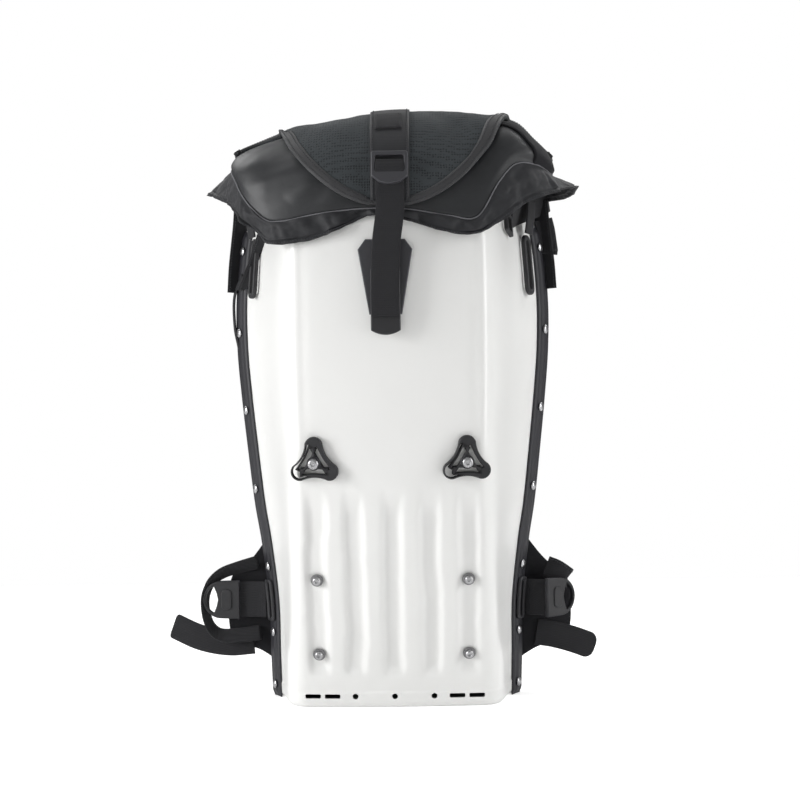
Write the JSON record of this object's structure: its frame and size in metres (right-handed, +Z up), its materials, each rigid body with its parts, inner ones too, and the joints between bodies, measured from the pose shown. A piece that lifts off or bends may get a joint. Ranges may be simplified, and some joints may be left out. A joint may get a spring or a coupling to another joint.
{
  "type": "backpack",
  "caption": "Backpack with a rigid moulded front shell bound to a padded back, a soft lid with a flap, a strap closure, shoulder straps and a hip belt",
  "frame": {"origin": "middle of the box's bottom face, on the surface that the backpack stands on", "axes": "+Z up, the shell's front towards -Y, the back with its straps towards +Y, +X to the right as seen from the front"},
  "size_m": [0.4066, 0.2214, 0.5552],
  "materials": {
    "white_shell": "satin white moulded plastic",
    "trim": "dark grey moulded edging with a soft sheen",
    "steel": "bright steel fastenings",
    "black_plastic": "black moulded plastic with a fine grain",
    "webbing": "ribbed black webbing",
    "coated_cloth": "coated black cloth with a soft gloss",
    "skirt_cloth": "plain woven charcoal cloth",
    "flap_mesh": "open charcoal spacer mesh",
    "padding": "padded black cloth"
  },
  "bodies": {
    "root": {"shell": "white_shell", "edge_trim_left": "trim", "edge_trim_right": "trim", "rivet_left_1": "steel", "rivet_left_2": "steel", "rivet_left_3": "steel", "rivet_left_4": "steel", "rivet_left_5": "steel", "rivet_left_6": "steel", "rivet_left_7": "steel", "rivet_right_1": "steel", "rivet_right_2": "steel", "rivet_right_3": "steel", "rivet_right_4": "steel", "rivet_right_5": "steel", "rivet_right_6": "steel", "rivet_right_7": "steel", "back_panel": "padding", "lumbar_pad": "padding", "back_pad_left": "padding", "back_pad_right": "padding", "shoulder_strap_left": "padding", "shoulder_strap_right": "padding", "strap_webbing_left": "webbing", "strap_webbing_right": "webbing", "knob_left": "black_plastic", "knob_right": "black_plastic", "knob_screw_left": "steel", "knob_screw_right": "steel", "washer_lower_left": "steel", "washer_lower_right": "steel", "washer_upper_left": "steel", "washer_upper_right": "steel", "base_screw_lower_left": "steel", "base_screw_lower_right": "steel", "base_screw_upper_left": "steel", "base_screw_upper_right": "steel", "hip_wing_left": "padding", "hip_wing_right": "padding", "belt_frame_left": "black_plastic", "belt_frame_right": "black_plastic", "belt_webbing_left": "webbing", "belt_webbing_right": "webbing", "belt_buckle_left": "black_plastic", "belt_buckle_right": "black_plastic", "belt_tail_left": "webbing", "belt_tail_right": "webbing", "side_hook_left": "black_plastic", "side_hook_right": "black_plastic", "side_webbing_left": "webbing", "side_webbing_right": "webbing", "lid_hood": "coated_cloth", "lid_skirt": "skirt_cloth", "lid_flap": "flap_mesh", "flap_strip": "skirt_cloth", "ladder_lock": "black_plastic", "latch_plate": "black_plastic", "latch_hook": "black_plastic", "closure_webbing": "webbing"}
  },
  "joints": []
}
